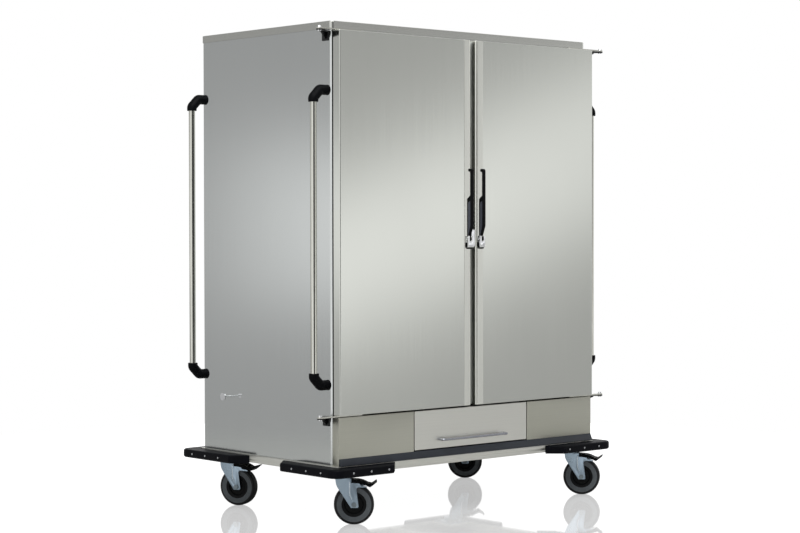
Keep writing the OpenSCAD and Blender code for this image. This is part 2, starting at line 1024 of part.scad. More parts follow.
module rack_left() {
    color("#C0C1C0")
        to_left()
            rack();
}

module rack_right() {
    color("#C0C1C0")
        rack();
}

// Fixed top plates, each with its race and the king pin that carries the fork
module caster_plates() {
    color("#B9C2C8")
        for (c = CORNERS)
            translate([c[0] * swivel_x, c[1] * swivel_y, 0])
                difference() {
                    union() {
                        translate([0, 0, caster_h - plate_t / 2])
                            cube([plate_w, plate_w, plate_t], center = true);
                        translate([0, 0, race_low])
                            cylinder(h = race_h, r1 = race_r, r2 = race_r + 3);
                        translate([0, 0, crown_low - seat_gap - 1])
                            cylinder(h = race_low - crown_low + seat_gap + 2, r = king_r);
                        translate([0, 0, crown_low - seat_gap - rivet_h])
                            cylinder(h = rivet_h, r = rivet_r);
                    }
                    for (at = CORNERS)
                        translate([at[0] * bolt_at, at[1] * bolt_at, caster_h - plate_t - 1])
                            cylinder(h = plate_t + 2, r = bolt_r + 0.3, $fn = SMALL);
                }
}

// Puts a caster's piece, drawn with its wheel trailing along +X, under its corner
module at_caster(i) {
    translate([CORNERS[i][0] * swivel_x, CORNERS[i][1] * swivel_y, 0])
        rotate([0, 0, heading[i]])
            children();
}

// Outline in trail and height, made as a slab between two distances across the wheel
module across(from, to) {
    translate([0, to, 0])
        rotate([90, 0, 0])
            linear_extrude(to - from)
                children();
}

// A pressed fork: a crown on the king pin, two tapered legs and the pedal's pivot pin
module fork(i) {
    crown_end = trail - 12;
    leg_front = trail - 0.93 * wheel_r;
    color("#AEBBC3")
        at_caster(i)
            difference() {
                union() {
                    translate([0, 0, crown_low])
                        cylinder(h = crown_t, r = crown_r);
                    block([-crown_r + 4, -leg_out, crown_low], [crown_end, leg_out, crown_low + leg_t]);
                    for (y = [-leg_out, leg_in])
                        across(y, y + leg_t)
                            polygon(concat(
                                [[leg_front, crown_low + crown_t - 2]],
                                [for (p = FORK_LEG) [trail, wheel_r] + wheel_r * p],
                                [[crown_end, crown_low + crown_t - 2]]
                            ));
                    for (y = [-leg_out - rib_t, leg_out])
                        across(y, y + rib_t)
                            translate([trail, wheel_r])
                                polygon(wheel_r * FORK_RIDGE);
                    translate([pedal_pin[0], 0, pedal_pin[1]])
                        rotate([90, 0, 0])
                            cylinder(h = 2 * leg_out, r = pedal_pin_r, center = true);
                }
                translate([0, 0, crown_low - 1])
                    cylinder(h = crown_t + 2, r = king_r + running);
                translate([trail, 0, wheel_r])
                    rotate([90, 0, 0])
                        cylinder(h = 2 * leg_out + 2, r = axle_r + running, center = true);
            }
}

// A bolt through both legs and the hub, with its head on one side and its nut on the other
module axle(i) {
    head_r = axle_r + 4;
    head_t = 5;
    color("#C3C9CC")
        at_caster(i)
            translate([trail, 0, wheel_r])
                rotate([90, 0, 0]) {
                    cylinder(h = 2 * leg_out + head_t, r = axle_r, center = true);
                    for (side = [-1, 1])
                        translate([0, 0, side * (leg_out + head_t / 2)])
                            cylinder(h = head_t, r = head_r, center = true, $fn = 6);
                }
}

// A moulded disc with a dished face on each side and a boss that keeps it between the legs
module hub(i) {
    face = tyre_w / 2 - 3;
    boss_r = 15;
    boss = leg_in - seat_gap;
    dish = 3;
    color("#101114")
        at_caster(i)
            translate([trail, 0, wheel_r])
                rotate([90, 0, 0])
                    rotate_extrude()
                        polygon([
                            [axle_r + running, -boss],
                            [boss_r - 2, -boss],
                            [boss_r, -face + dish],
                            [hub_r - 12, -face + dish],
                            [hub_r - 8, -face],
                            [hub_r, -face],
                            [hub_r, face],
                            [hub_r - 8, face],
                            [hub_r - 12, face - dish],
                            [boss_r, face - dish],
                            [boss_r - 2, boss],
                            [axle_r + running, boss]
                        ]);
}

// A solid rubber tyre with round shoulders and ring grooves on its flanks
module tyre(i) {
    shoulder = 9;
    groove = 1.2;
    half = tyre_w / 2;
    band = wheel_r - hub_r;
    color("#4A4E52")
        at_caster(i)
            translate([trail, 0, wheel_r])
                rotate([90, 0, 0])
                    rotate_extrude()
                        difference() {
                            rounded([hub_r, -half], [wheel_r, half], [0, shoulder, shoulder, 0]);
                            for (at = [0.28, 0.5])
                                for (side = [-1, 1])
                                    translate([hub_r + at * band, side * half])
                                        square([1.6, 2 * groove], center = true);
                        }
}

// The foot pedal: a hub round its pin and an arm that follows the tyre out to an upturned tip
module pedal(i) {
    half = leg_in - 4;
    color("#17181B")
        at_caster(i)
            difference() {
                union() {
                    translate([pedal_pin[0], 0, pedal_pin[1]])
                        rotate([90, 0, 0])
                            cylinder(h = 2 * half, r = pedal_hub_r, center = true);
                    across(-half, half)
                        translate([trail, wheel_r])
                            polygon(wheel_r * PEDAL_ARM);
                }
                translate([pedal_pin[0], 0, pedal_pin[1]])
                    rotate([90, 0, 0])
                        cylinder(h = 2 * half + 2, r = pedal_pin_r + running, center = true);
            }
}

module fork_front_left() {
    fork(FRONT_LEFT);
}

module fork_front_right() {
    fork(FRONT_RIGHT);
}

module fork_back_left() {
    fork(BACK_LEFT);
}

module fork_back_right() {
    fork(BACK_RIGHT);
}

module axle_front_left() {
    axle(FRONT_LEFT);
}

module axle_front_right() {
    axle(FRONT_RIGHT);
}

module axle_back_left() {
    axle(BACK_LEFT);
}

module axle_back_right() {
    axle(BACK_RIGHT);
}

module hub_front_left() {
    hub(FRONT_LEFT);
}

module hub_front_right() {
    hub(FRONT_RIGHT);
}

module hub_back_left() {
    hub(BACK_LEFT);
}

module hub_back_right() {
    hub(BACK_RIGHT);
}

module tyre_front_left() {
    tyre(FRONT_LEFT);
}

module tyre_front_right() {
    tyre(FRONT_RIGHT);
}

module tyre_back_left() {
    tyre(BACK_LEFT);
}

module tyre_back_right() {
    tyre(BACK_RIGHT);
}

module pedal_front_left() {
    pedal(FRONT_LEFT);
}

module pedal_front_right() {
    pedal(FRONT_RIGHT);
}

module pedal_back_left() {
    pedal(BACK_LEFT);
}

module pedal_back_right() {
    pedal(BACK_RIGHT);
}

chassis_frame();
edge_strip();
side_panel_left();
side_panel_right();
back_panel();
roof_panel();
floor_panel();
partition();
top_cap();
fascia_left();
fascia_right();
drawer_runners();
rack_left();
rack_right();
mullion_strip();
latch_keeper();
bumper_front_left();
bumper_front_right();
bumper_back_left();
bumper_back_right();
frame_screws();
push_tubes();
push_elbows();
stop_studs();
hinge_brackets();
hinge_pins();
caster_plates();
door_left();
door_right();
gasket_left();
gasket_right();
hinge_arms_left();
hinge_arms_right();
latch_base_left();
latch_base_right();
lever_left();
lever_right();
drawer_front();
drawer_tray();
drawer_handle();
fork_front_left();
fork_front_right();
fork_back_left();
fork_back_right();
axle_front_left();
axle_front_right();
axle_back_left();
axle_back_right();
hub_front_left();
hub_front_right();
hub_back_left();
hub_back_right();
tyre_front_left();
tyre_front_right();
tyre_back_left();
tyre_back_right();
pedal_front_left();
pedal_front_right();
pedal_back_left();
pedal_back_right();
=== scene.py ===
import json
import math
import bmesh
import bpy
import numpy as np
from mathutils import Matrix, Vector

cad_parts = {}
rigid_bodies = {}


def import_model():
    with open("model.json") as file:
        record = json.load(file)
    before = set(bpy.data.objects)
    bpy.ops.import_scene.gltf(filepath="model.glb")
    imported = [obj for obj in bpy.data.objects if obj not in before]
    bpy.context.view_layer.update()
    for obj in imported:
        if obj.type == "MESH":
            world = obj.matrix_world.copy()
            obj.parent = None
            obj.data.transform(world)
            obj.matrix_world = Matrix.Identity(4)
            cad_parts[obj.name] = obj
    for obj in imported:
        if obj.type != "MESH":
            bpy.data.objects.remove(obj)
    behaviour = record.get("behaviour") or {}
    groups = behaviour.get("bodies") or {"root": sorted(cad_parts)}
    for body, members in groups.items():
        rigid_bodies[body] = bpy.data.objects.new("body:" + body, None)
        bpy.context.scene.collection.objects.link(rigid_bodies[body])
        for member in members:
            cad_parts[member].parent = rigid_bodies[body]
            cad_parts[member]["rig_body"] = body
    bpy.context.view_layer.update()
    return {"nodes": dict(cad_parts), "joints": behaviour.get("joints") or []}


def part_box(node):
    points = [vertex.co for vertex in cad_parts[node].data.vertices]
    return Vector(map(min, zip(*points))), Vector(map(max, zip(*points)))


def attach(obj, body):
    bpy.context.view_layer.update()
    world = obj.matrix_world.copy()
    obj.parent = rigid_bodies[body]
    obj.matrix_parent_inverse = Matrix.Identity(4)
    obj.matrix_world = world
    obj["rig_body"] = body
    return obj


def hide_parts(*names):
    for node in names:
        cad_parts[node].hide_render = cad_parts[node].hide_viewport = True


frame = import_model()
cadNodes = frame["nodes"]
joints = {joint["name"]: joint for joint in frame["joints"]}
cornerNames = ["front_left", "front_right", "back_left", "back_right"]
sides = {"left": -1, "right": 1}
quarters = [(-1, -1), (-1, 1), (1, -1), (1, 1)]
mm = 0.001


def inMetres(look, *names):
    # settings whose names end in Mm, turned to metres
    return [look[name + "Mm"] * mm for name in names]


# Nodes and materials

def linearColour(hexText):
    # each sRGB channel under 0.04045 is divided by 12.92, and the rest follow the 2.4 power
    channels = [int(hexText[i:i + 2], 16) / 255 for i in (1, 3, 5)]
    return [c / 12.92 if c <= 0.04045 else ((c + 0.055) / 1.055) ** 2.4 for c in channels] + [1.0]


def addNode(tree, kind, settings=None, links=None):
    # a link comes from a socket, or from a node's first output
    node = tree.nodes.new(kind)
    for name, value in (settings or {}).items():
        if isinstance(name, int) or name in node.inputs:
            node.inputs[name].default_value = value
        else:
            setattr(node, name, value)
    for name, source in (links or {}).items():
        socket = source.outputs[0] if isinstance(source, bpy.types.Node) else source
        tree.links.new(socket, node.inputs[name])
    return node


def newMaterial(name):
    material = bpy.data.materials.new(name)
    material.use_nodes = True
    tree = material.node_tree
    tree.nodes.clear()
    place = addNode(tree, "ShaderNodeTexCoord").outputs["Object"]
    return material, tree, place


def stretchedNoise(tree, place, sizeMm, detail):
    # a pattern of this length along X, Y and Z, in millimetres
    moved = addNode(tree, "ShaderNodeMapping", {"Scale": [1000 / s for s in sizeMm]}, {"Vector": place})
    return addNode(tree, "ShaderNodeTexNoise", {"Scale": 1.0, "Detail": detail}, {"Vector": moved})


# nearly all of a noise lies between these, so a colour or roughness runs over its whole range there
noiseReach = {"From Min": 0.3, "From Max": 0.7}
sheetFinish = {"detail": 3.0, "tintLow": 0.35, "grainRough": 0.006, "marksRough": 0.004, "bumpMm": 0.1}
platedFinish = {"detail": 3.0, "tintLow": 0.2, "cloudRough": 0.06}
mouldFinish = {"detail": 2.0, "bumpMm": 0.4, "dustMm": [45, 45, 45], "dustDetail": 4.0, "dustMost": 0.5,
               "dustRough": 0.1}


def brushedStainless(name, look):
    # finely ground stainless sheet: straight grain too fine to catch single glints, which leaves a
    # satin reflection, and faint wide hand marks
    material, tree, place = newMaterial(name)
    grain = stretchedNoise(tree, place, look["grainMm"], sheetFinish["detail"])
    marks = stretchedNoise(tree, place, look["marksMm"], sheetFinish["detail"])
    share = addNode(tree, "ShaderNodeMapRange", {**noiseReach, "To Min": sheetFinish["tintLow"]},
                    {"Value": grain})
    tint = addNode(tree, "ShaderNodeMix", {"data_type": "RGBA", 6: linearColour(look["dark"]),
                                           7: linearColour(look["colour"])}, {0: share})
    grainRough = addNode(tree, "ShaderNodeMapRange",
                         {**noiseReach, "To Min": look["rough"] - sheetFinish["grainRough"],
                          "To Max": look["rough"] + sheetFinish["grainRough"]}, {"Value": grain})
    marksRough = addNode(tree, "ShaderNodeMapRange",
                         {**noiseReach, "To Min": -sheetFinish["marksRough"],
                          "To Max": sheetFinish["marksRough"]}, {"Value": marks})
    rough = addNode(tree, "ShaderNodeMath", {"operation": "ADD"}, {0: grainRough, 1: marksRough})
    bump = addNode(tree, "ShaderNodeBump",
                   {"Strength": look["bump"], "Distance": sheetFinish["bumpMm"] * mm}, {"Height": grain})
    shader = addNode(tree, "ShaderNodeBsdfPrincipled", {"Metallic": 1.0},
                     {"Base Color": tint.outputs[2], "Roughness": rough, "Normal": bump})
    addNode(tree, "ShaderNodeOutputMaterial", None, {"Surface": shader})
    return material


def polishedMetal(name, look):
    # polished or plated metal: clear reflections with a little cloudiness in the finish
    material, tree, place = newMaterial(name)
    cloud = stretchedNoise(tree, place, look["cloudMm"], platedFinish["detail"])
    share = addNode(tree, "ShaderNodeMapRange", {**noiseReach, "To Min": platedFinish["tintLow"]},
                    {"Value": cloud})
    tint = addNode(tree, "ShaderNodeMix", {"data_type": "RGBA", 6: linearColour(look["dark"]),
                                           7: linearColour(look["colour"])}, {0: share})
    rough = addNode(tree, "ShaderNodeMapRange",
                    {**noiseReach, "To Min": look["rough"] + platedFinish["cloudRough"],
                     "To Max": look["rough"]}, {"Value": cloud})
    shader = addNode(tree, "ShaderNodeBsdfPrincipled", {"Metallic": 1.0},
                     {"Base Color": tint.outputs[2], "Roughness": rough})
    addNode(tree, "ShaderNodeOutputMaterial", None, {"Surface": shader})
    return material


def mouldedPolymer(name, look):
    # moulded plastic or rubber: an even colour, fine texture from the mould, paler dust on top
    material, tree, place = newMaterial(name)
    texture = stretchedNoise(tree, place, [look["textureMm"]] * 3, mouldFinish["detail"])
    dust = stretchedNoise(tree, place, mouldFinish["dustMm"], mouldFinish["dustDetail"])
    share = addNode(tree, "ShaderNodeMapRange", {**noiseReach, "To Max": mouldFinish["dustMost"]},
                    {"Value": dust})
    tint = addNode(tree, "ShaderNodeMix", {"data_type": "RGBA", 6: linearColour(look["colour"]),
                                           7: linearColour(look["dusty"])}, {0: share})
    rough = addNode(tree, "ShaderNodeMapRange",
                    {**noiseReach, "To Min": look["rough"],
                     "To Max": look["rough"] + mouldFinish["dustRough"]}, {"Value": dust})
    bump = addNode(tree, "ShaderNodeBump",
                   {"Strength": look["bump"], "Distance": mouldFinish["bumpMm"] * mm}, {"Height": texture})
    shader = addNode(tree, "ShaderNodeBsdfPrincipled",
                     {"IOR": look["ior"], "Specular IOR Level": look["gloss"]},
                     {"Base Color": tint.outputs[2], "Roughness": rough, "Normal": bump})
    addNode(tree, "ShaderNodeOutputMaterial", None, {"Surface": shader})
    return material


# the real grain is about 0.1 mm wide, and is drawn 2.5 mm wide so that it can show
uprightGrain = {"grainMm": [2.5, 2.5, 420], "marksMm": [260, 260, 420], "bump": 0.02}
levelGrain = {"grainMm": [420, 2.5, 2.5], "marksMm": [420, 200, 200], "bump": 0.02}
sheetLooks = {
    "doorStainless": {**uprightGrain, "colour": "#D9DBD5", "dark": "#D4D6D0", "rough": 0.14,
                      "slot": "door_steel"},  # finely ground: a soft, nearly clear image of the room
    "edgeStainless": {**uprightGrain, "colour": "#E6E7E0", "dark": "#DFE0D9", "rough": 0.24,
                      "slot": "door_steel"},  # ground a little coarser: paler and softer
    "panelStainless": {**uprightGrain, "colour": "#D0D3D2", "dark": "#CBCECD", "rough": 0.14,
                       "slot": "panel_steel"},  # finely ground: a cooler grey, nearly clear
    "capStainless": {**levelGrain, "colour": "#C9CAC5", "dark": "#C3C4BF", "rough": 0.18,
                     "slot": "panel_steel"},  # ground lengthways: a slightly warmer grey
    "fasciaStainless": {**levelGrain, "colour": "#BCBCB1", "dark": "#B6B6AB", "rough": 0.4,
                        "slot": "fascia_steel"},  # ground coarse: dull and warm
    "drawerStainless": {**levelGrain, "colour": "#DADAD4", "dark": "#D4D4CE", "rough": 0.36,
                        "slot": "fascia_steel"},  # ground coarse: pale and even
    "linerStainless": {**levelGrain, "colour": "#C9CAC6", "dark": "#C2C3BF", "rough": 0.34,
                       "slot": "liner_steel"},  # as rolled: a dull, even grey
}
metalLooks = {
    "polishedTube": {"colour": "#D4D4CC", "dark": "#C8C8C0", "cloudMm": [6, 6, 90], "rough": 0.12,
                     "slot": "bright_steel"},  # polished stainless tube and wire: sharp streaks along it
    "brightChrome": {"colour": "#F0F1F3", "dark": "#E2E3E5", "cloudMm": [20, 20, 20], "rough": 0.1,
                     "slot": "chromed"},  # chrome plate: bright, nearly a mirror
    "blueZinc": {"colour": "#A6B7C6", "dark": "#9DAEBD", "cloudMm": [60, 60, 60], "rough": 0.26,
                 "slot": "zinc_steel"},  # blue zinc plate on pressed steel: bluish with a soft shine
    "paleZinc": {"colour": "#D6E0E8", "dark": "#CBD6DE", "cloudMm": [60, 60, 60], "rough": 0.22,
                 "slot": "zinc_steel"},  # the same zinc, painted paler on the ridge as a highlight
    "boltSteel": {"colour": "#828C92", "dark": "#757F85", "cloudMm": [6, 6, 6], "rough": 0.3,
                  "slot": "zinc_steel"},  # zinc plate on the axle bolts: a darker grey, painted shade at the nut
    "handleChrome": {"colour": "#A6A8AF", "dark": "#989AA2", "cloudMm": [20, 20, 20], "rough": 0.12,
                     "slot": "chromed"},  # chrome plate on the bow handle, darkened as painted shade
    "stripAluminium": {"colour": "#F0F2F4", "dark": "#E4E7EA", "cloudMm": [9, 9, 120], "rough": 0.5,
                       "slot": "dark_steel"},  # anodised, extruded aluminium: pale as painted light in the shaded gap, and matt
    "screwSteel": {"colour": "#B9BBBE", "dark": "#A9ABAE", "cloudMm": [6, 6, 6], "rough": 0.3,
                   "slot": "bright_steel"},  # stainless screw heads: dull grey
}
# the real texture is about 0.3 mm wide, and is drawn 1.2 to 2.5 mm wide so that it can show
polymerLooks = {
    "blackNylon": {"colour": "#050608", "dusty": "#0B0C0F", "textureMm": 1.2, "rough": 0.42, "bump": 0.1,
                   "ior": 1.5, "gloss": 0.06, "slot": "black_moulding"},  # moulded nylon: deep matt black
    "leverNylon": {"colour": "#030405", "dusty": "#08090C", "textureMm": 1.2, "rough": 0.45, "bump": 0.1,
                   "ior": 1.5, "gloss": 0.1, "slot": "black_moulding"},  # moulded nylon: black, less matt
    "leverInset": {"colour": "#3A3D46", "dusty": "#4A4D56", "textureMm": 1.2, "rough": 0.5, "bump": 0.1,
                   "ior": 1.5, "gloss": 0.3, "slot": "black_moulding"},  # moulded nylon, slate grey: painted light on the lever's sides
    "bumperRubber": {"colour": "#030409", "dusty": "#090A11", "textureMm": 1.6, "rough": 0.42, "bump": 0.2,
                     "ior": 1.5, "gloss": 0.08, "slot": "bumper_moulding"},  # moulded rubber: bluish black
    "slateEdge": {"colour": "#24282F", "dusty": "#2F343B", "textureMm": 1.5, "rough": 0.5, "bump": 0.15,
                  "ior": 1.48, "gloss": 0.4, "slot": "slate_edge"},  # extruded PVC: slate, a slight sheen
    "sealRubber": {"colour": "#050506", "dusty": "#0A0B0C", "textureMm": 1.5, "rough": 0.6, "bump": 0.2,
                   "ior": 1.5, "gloss": 0.05, "slot": "seal_rubber"},  # extruded rubber: dull black
    "tyreRubber": {"colour": "#565B5F", "dusty": "#676C70", "textureMm": 1.4, "rough": 0.55, "bump": 0.2,
                   "ior": 1.5, "gloss": 0.4, "slot": "tyre_rubber"},  # moulded rubber: a dull mid grey
    "treadRubber": {"colour": "#0E0F11", "dusty": "#1B1D20", "textureMm": 1.4, "rough": 0.5, "bump": 0.3,
                    "ior": 1.5, "gloss": 0.35, "slot": "tyre_rubber"},  # moulded rubber, painted nearly black as shade
    "hubNylon": {"colour": "#040506", "dusty": "#0A0C0E", "textureMm": 1.4, "rough": 0.5, "bump": 0.1,
                 "ior": 1.5, "gloss": 0.15, "slot": "black_moulding"},  # moulded nylon: deep black
    "blackPaint": {"colour": "#101113", "dusty": "#1A1C1F", "textureMm": 2.5, "rough": 0.4, "bump": 0.1,
                   "ior": 1.5, "gloss": 0.4, "slot": "dark_steel"},  # black, painted shade under the hinge arms; slight sheen
}
finishes, slots = {}, {}
for makeFinish, looks in ((brushedStainless, sheetLooks), (polishedMetal, metalLooks),
                          (mouldedPolymer, polymerLooks)):
    for name, look in looks.items():
        finishes[name] = makeFinish(name, look)
        slots[name] = look["slot"]
print("materials made:", len(finishes))


# Mesh helpers

def arc(centre, radius, fromDeg, toDeg, steps=7):
    # centre plus the radius times (cos a, sin a)
    a = np.radians(np.linspace(fromDeg, toDeg, steps))
    return np.array(centre) + radius * np.stack([np.cos(a), np.sin(a)], -1)


def roundedOutline(low, high, radii, steps=7):
    # a rectangle whose corners are quarter circles, from its low corner round to its upper left
    corners = [(low[0], low[1], 180), (high[0], low[1], 270), (high[0], high[1], 0), (low[0], high[1], 90)]
    points = []
    for (x, y, start), r in zip(corners, radii):
        inward = np.array([1 if x == low[0] else -1, 1 if y == low[1] else -1])
        points.append(arc(np.array([x, y]) + inward * r, r, start, start + 90, steps if r else 1))
    return np.concatenate(points)


def insetOutline(outline, inset):
    # each point moves inwards by the inset times (a + b) / (1 + a.b), where a and b are the inward
    # normals of its two edges, so that every edge moves in by the same distance
    after = np.roll(outline, -1, 0)
    if (outline[:, 0] * after[:, 1] - outline[:, 1] * after[:, 0]).sum() < 0:
        inset = -inset
    ahead = after - outline
    normal = np.stack([-ahead[:, 1], ahead[:, 0]], -1) / np.linalg.norm(ahead, axis=1)[:, None]
    before = np.roll(normal, 1, 0)
    return outline + inset * (normal + before) / (1 + (normal * before).sum(1))[:, None]


def roundedLevels(low, high, r, steps=5):
    # insets r (1 - sin a) at heights r (1 - cos a) from each end, for a from 0 to 90 degrees
    a = np.radians(np.linspace(0, 90, steps))
    near = np.stack([r * (1 - np.sin(a)), low + r * (1 - np.cos(a))], -1)
    far = np.stack([near[::-1, 0], high + low - near[::-1, 1]], -1)
    return np.concatenate([near, far])


planes = {"x": [[0, 1, 0], [0, 0, 1], [1, 0, 0]], "y": [[1, 0, 0], [0, 0, 1], [0, 1, 0]],
          "z": [[1, 0, 0], [0, 1, 0], [0, 0, 1]]}


def drawnRings(outline, levels, plane=planes["z"], origin=(0, 0, 0)):
    # the outline, inset and lifted to each level, laid in the plane: origin + u A + v B + height C
    rings = [np.column_stack([insetOutline(outline, inset), np.full(len(outline), height)])
             for inset, height in levels]
    return np.array(origin) + np.array(rings) @ np.array(plane, float)


def spunRings(profile, centre, axis, steps=40):
    # each (radius, height) of the profile turned about an axis through the centre
    profile = np.array(profile, float)
    angle = np.linspace(0, 2 * np.pi, steps, endpoint=False)
    axis = np.array(axis, float) / np.linalg.norm(axis)
    nearlyUpright = abs(axis[2]) > 0.9
    across = np.cross([1.0, 0, 0] if nearlyUpright else [0, 0, 1.0], axis)
    across /= np.linalg.norm(across)
    basis = np.stack([across, np.cross(axis, across), axis])
    ring = np.stack([np.cos(angle), np.sin(angle)], -1)
    out = profile[:, None, :1] * ring
    up = np.repeat(profile[:, 1:, None], steps, 1)
    return np.array(centre) + np.concatenate([out, up], -1) @ basis


def bentPath(corners, trim, steps=7):
    # straight runs joined at each corner by a curve (1-t)^2 A + 2t(1-t) corner + t^2 B, where A and B
    # lie the trim length before and after the corner
    corners = np.array(corners, float)
    t = np.linspace(0, 1, steps)[:, None]
    path = [corners[:1]]
    for before, corner, after in zip(corners, corners[1:], corners[2:]):
        near = corner + trim * (before - corner) / np.linalg.norm(before - corner)
        far = corner + trim * (after - corner) / np.linalg.norm(after - corner)
        path.append((1 - t) ** 2 * near + 2 * t * (1 - t) * corner + t ** 2 * far)
    return np.concatenate(path + [corners[-1:]])


def sweptRings(path, radii, sideways, steps=28):
    # the ring at each point is the point plus its radius times (cos a normal + sin a sideways)
    ahead = np.gradient(path, axis=0)
    ahead /= np.linalg.norm(ahead, axis=1)[:, None]
    sideways = np.array(sideways, float)
    normal = np.cross(sideways, ahead)
    angle = np.linspace(0, 2 * np.pi, steps, endpoint=False)[None, :, None]
    ring = np.cos(angle) * normal[:, None] + np.sin(angle) * sideways
    return path[:, None] + np.array(radii)[:, None, None] * ring


def closedShape(name, shells, sharpDegrees=35, capped=True, weldMm=0.002):
    # each shell is an array of rings x points x 3: quads join each ring to the next, and a flat
    # face closes the first and the last ring
    points, faces, start = [], [], 0
    for rings in shells:
        index = start + np.arange(rings.shape[0] * rings.shape[1]).reshape(rings.shape[:2])
        quads = np.stack([index[:-1], np.roll(index[:-1], -1, 1), np.roll(index[1:], -1, 1), index[1:]], -1)
        faces += quads.reshape(-1, 4).tolist()
        if capped:
            faces += [index[0][::-1].tolist(), index[-1].tolist()]
        points.append(rings.reshape(-1, 3))
        start += index.size
    mesh = bpy.data.meshes.new(name)
    mesh.from_pydata(np.concatenate(points).tolist(), [], faces)
    # doubles merged, faces turned outwards, flats kept flat beside their rounded edges
    work = bmesh.new()
    work.from_mesh(mesh)
    bmesh.ops.remove_doubles(work, verts=work.verts, dist=weldMm * mm)
    bmesh.ops.recalc_face_normals(work, faces=work.faces)
    for edge in work.edges:
        edge.smooth = edge.calc_face_angle(0) < math.radians(sharpDegrees)
    for face in work.faces:
        face.smooth = True
    work.to_mesh(mesh)
    work.free()
    piece = bpy.data.objects.new(name, mesh)
    piece.modifiers.new("evenShading", "WEIGHTED_NORMAL").keep_sharp = True
    return piece


def finishPiece(piece, finish, body, replaces=()):
    bpy.context.scene.collection.objects.link(piece)
    piece.data.materials.clear()
    piece.data.materials.append(finishes[finish])
    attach(piece, body)
    if replaces:
        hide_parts(*replaces)


softSettings = {"steps": 2, "sharpDegrees": 32, "weldMm": 0.01, "flatDegrees": 0.6}


def softenedCopy(nodeName, look):
    # a merged copy of the node with its flats joined and every sharp edge given a small round
    look = {**softSettings, **look}
    source = cadNodes[nodeName]
    mesh = source.data.copy()
    work = bmesh.new()
    work.from_mesh(mesh)
    bmesh.ops.remove_doubles(work, verts=work.verts, dist=look["weldMm"] * mm)
    bmesh.ops.dissolve_limit(work, angle_limit=math.radians(look["flatDegrees"]), verts=work.verts,
                             edges=work.edges)
    for face in work.faces:
        face.smooth = True
    work.to_mesh(mesh)
    work.free()
    piece = bpy.data.objects.new("soft_" + nodeName, mesh)
    bevel = piece.modifiers.new("edges", "BEVEL")
    bevel.width = look["roundMm"] * mm
    bevel.segments = look["steps"]
    bevel.limit_method = "ANGLE"
    bevel.angle_limit = math.radians(look["sharpDegrees"])
    bevel.harden_normals = True
    bevel.use_clamp_overlap = True
    finishPiece(piece, look["finish"], source["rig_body"], replaces=(nodeName,))


def dress(nodeName, finish):
    node = cadNodes[nodeName]
    node.data.materials.clear()
    node.data.materials.append(finishes[finish])


def boxOf(nodeName):
    return [np.array(corner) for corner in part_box(nodeName)]


# Cabinet

panelSettings = {"backRadiusMm": 15, "roundMm": 1.5}


def sidePanel(name, look):
    # the panel's plan with round back corners, carried up it and drawn in at both ends to round them
    low, high = boxOf("side_panel_right")
    backR, r = inMetres(look, "backRadius", "round")
    outline = roundedOutline(low[:2], high[:2], [0, backR, backR, 0])
    rings = drawnRings(outline * [sides[name], 1], roundedLevels(low[2], high[2], r))
    finishPiece(closedShape("panel_" + name, [rings]), "panelStainless", "cabinet", ("side_panel_" + name,))


capSettings = {"radiusMm": 18, "edgeMm": 3, "sheetMm": 2, "edgeSteps": 6}


def topCap(look):
    # from inside the lip, round its lower edge and up over the rolled top edge: insets
    # e (1 - cos a) at e (1 - sin a) under the top, for a from 0 to 90 degrees
    low, high = boxOf("top_cap")
    r, edge, sheet = inMetres(look, "radius", "edge", "sheet")
    a = np.radians(np.linspace(0, 90, look["edgeSteps"]))
    rolled = np.stack([edge * (1 - np.cos(a)), high[2] - edge * (1 - np.sin(a))], -1)
    levels = np.concatenate([[[sheet, high[2] - sheet], [sheet, low[2]], [0, low[2]]], rolled])
    rings = drawnRings(roundedOutline(low[:2], high[:2], [r, r, r, r]), levels)
    finishPiece(closedShape("rolled_cap", [rings]), "capStainless", "cabinet", ("top_cap",))


doorSettings = {"bandMm": 38, "stepMm": 1, "noseMm": 10, "edgeMm": 4, "foldMm": 2.5, "backMm": 1,
                "roundMm": 1.5}


def doorLeaf(name, look):
    # a flat slab, and beside the gap a raised band whose inner edge is rolled round
    low, high = boxOf("door_right")
    width, step, nose, edge = inMetres(look, "band", "step", "nose", "edge")
    fold, back, r = inMetres(look, "fold", "back", "round")
    levels = roundedLevels(low[2], high[2], r)
    slab = roundedOutline([low[0] + nose, low[1] + step], high[:2], [0, edge, back, 0])
    band = roundedOutline(low[:2], [low[0] + width, high[1]], [nose, fold, 0, edge])
    slabRings, bandRings = [drawnRings(outline * [sides[name], 1], levels) for outline in (slab, band)]
    body = "door_" + name
    finishPiece(closedShape("slab_" + name, [slabRings]), "doorStainless", body, (body,))
    finishPiece(closedShape("band_" + name, [bandRings]), "edgeStainless", body)


drawerSettings = {"cornerMm": 2, "roundMm": 1.5}


def drawerFront(look):
    # the front's outline with small round corners, carried through it and drawn in at both faces
    low, high = boxOf("drawer_front")
    corner, r = inMetres(look, "corner", "round")
    outline = roundedOutline(low[[0, 2]], high[[0, 2]], [corner] * 4)
    rings = drawnRings(outline, roundedLevels(low[1], high[1], r), planes["y"])
    finishPiece(closedShape("drawer_face", [rings]), "drawerStainless", "drawer", ("drawer_front",))


